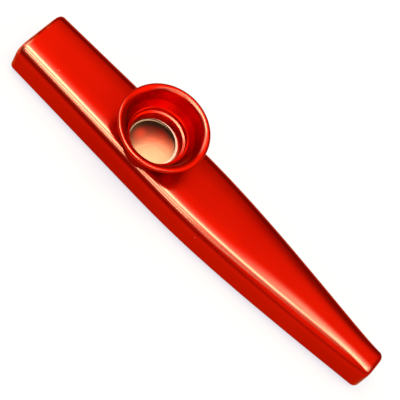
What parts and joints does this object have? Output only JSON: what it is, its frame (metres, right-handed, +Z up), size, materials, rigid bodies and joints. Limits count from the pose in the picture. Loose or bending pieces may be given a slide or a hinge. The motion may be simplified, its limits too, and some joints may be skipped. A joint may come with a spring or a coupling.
{
  "type": "kazoo",
  "caption": "Metal kazoo with a flat tapering tube body, open at both ends, and a flared screw cup over a buzzing membrane.",
  "frame": {"origin": "on the surface the kazoo rests on, under the middle of its bounding box", "axes": "+X along the body from the wide mouth end to the narrow end, +Z up through the cup, +Y across"},
  "size_m": [0.1208, 0.0242, 0.0198],
  "materials": {
    "red_shell": "polished, red anodised",
    "red_plate": "polished, red anodised",
    "red_collar": "turned, red anodised",
    "red_cup": "spun and polished, red anodised",
    "bare_metal": "plain turned",
    "gasket_rubber": "matte",
    "membrane_film": "clear film",
    "membrane_plastic": "translucent",
    "slip_plastic": "smooth white"
  },
  "bodies": {
    "body": {"upper_shell": "red_shell", "bottom_plate": "red_plate", "threaded_collar": "red_collar", "collar_lock_ring": "bare_metal", "seat_gasket": "gasket_rubber"},
    "membrane": {"slip_ring": "slip_plastic", "membrane_rim": "membrane_plastic", "membrane_film": "membrane_film"},
    "cup": {"screw_cup": "red_cup"}
  },
  "joints": [
    {"name": "cup_lift", "type": "slide", "parent": "body", "child": "membrane", "axis": [0, 0, 1], "range_m": [0, 0.0025]},
    {"name": "cup_turn", "type": "hinge", "parent": "membrane", "child": "cup", "pos_m": [-0.02025, 0, 0.0143], "axis": [0, 0, 1], "range_deg": [0, 720]}
  ],
  "couplings": [
    {"joint": "cup_turn", "follows": "cup_lift", "rad_per_m": 5026.5}
  ]
}
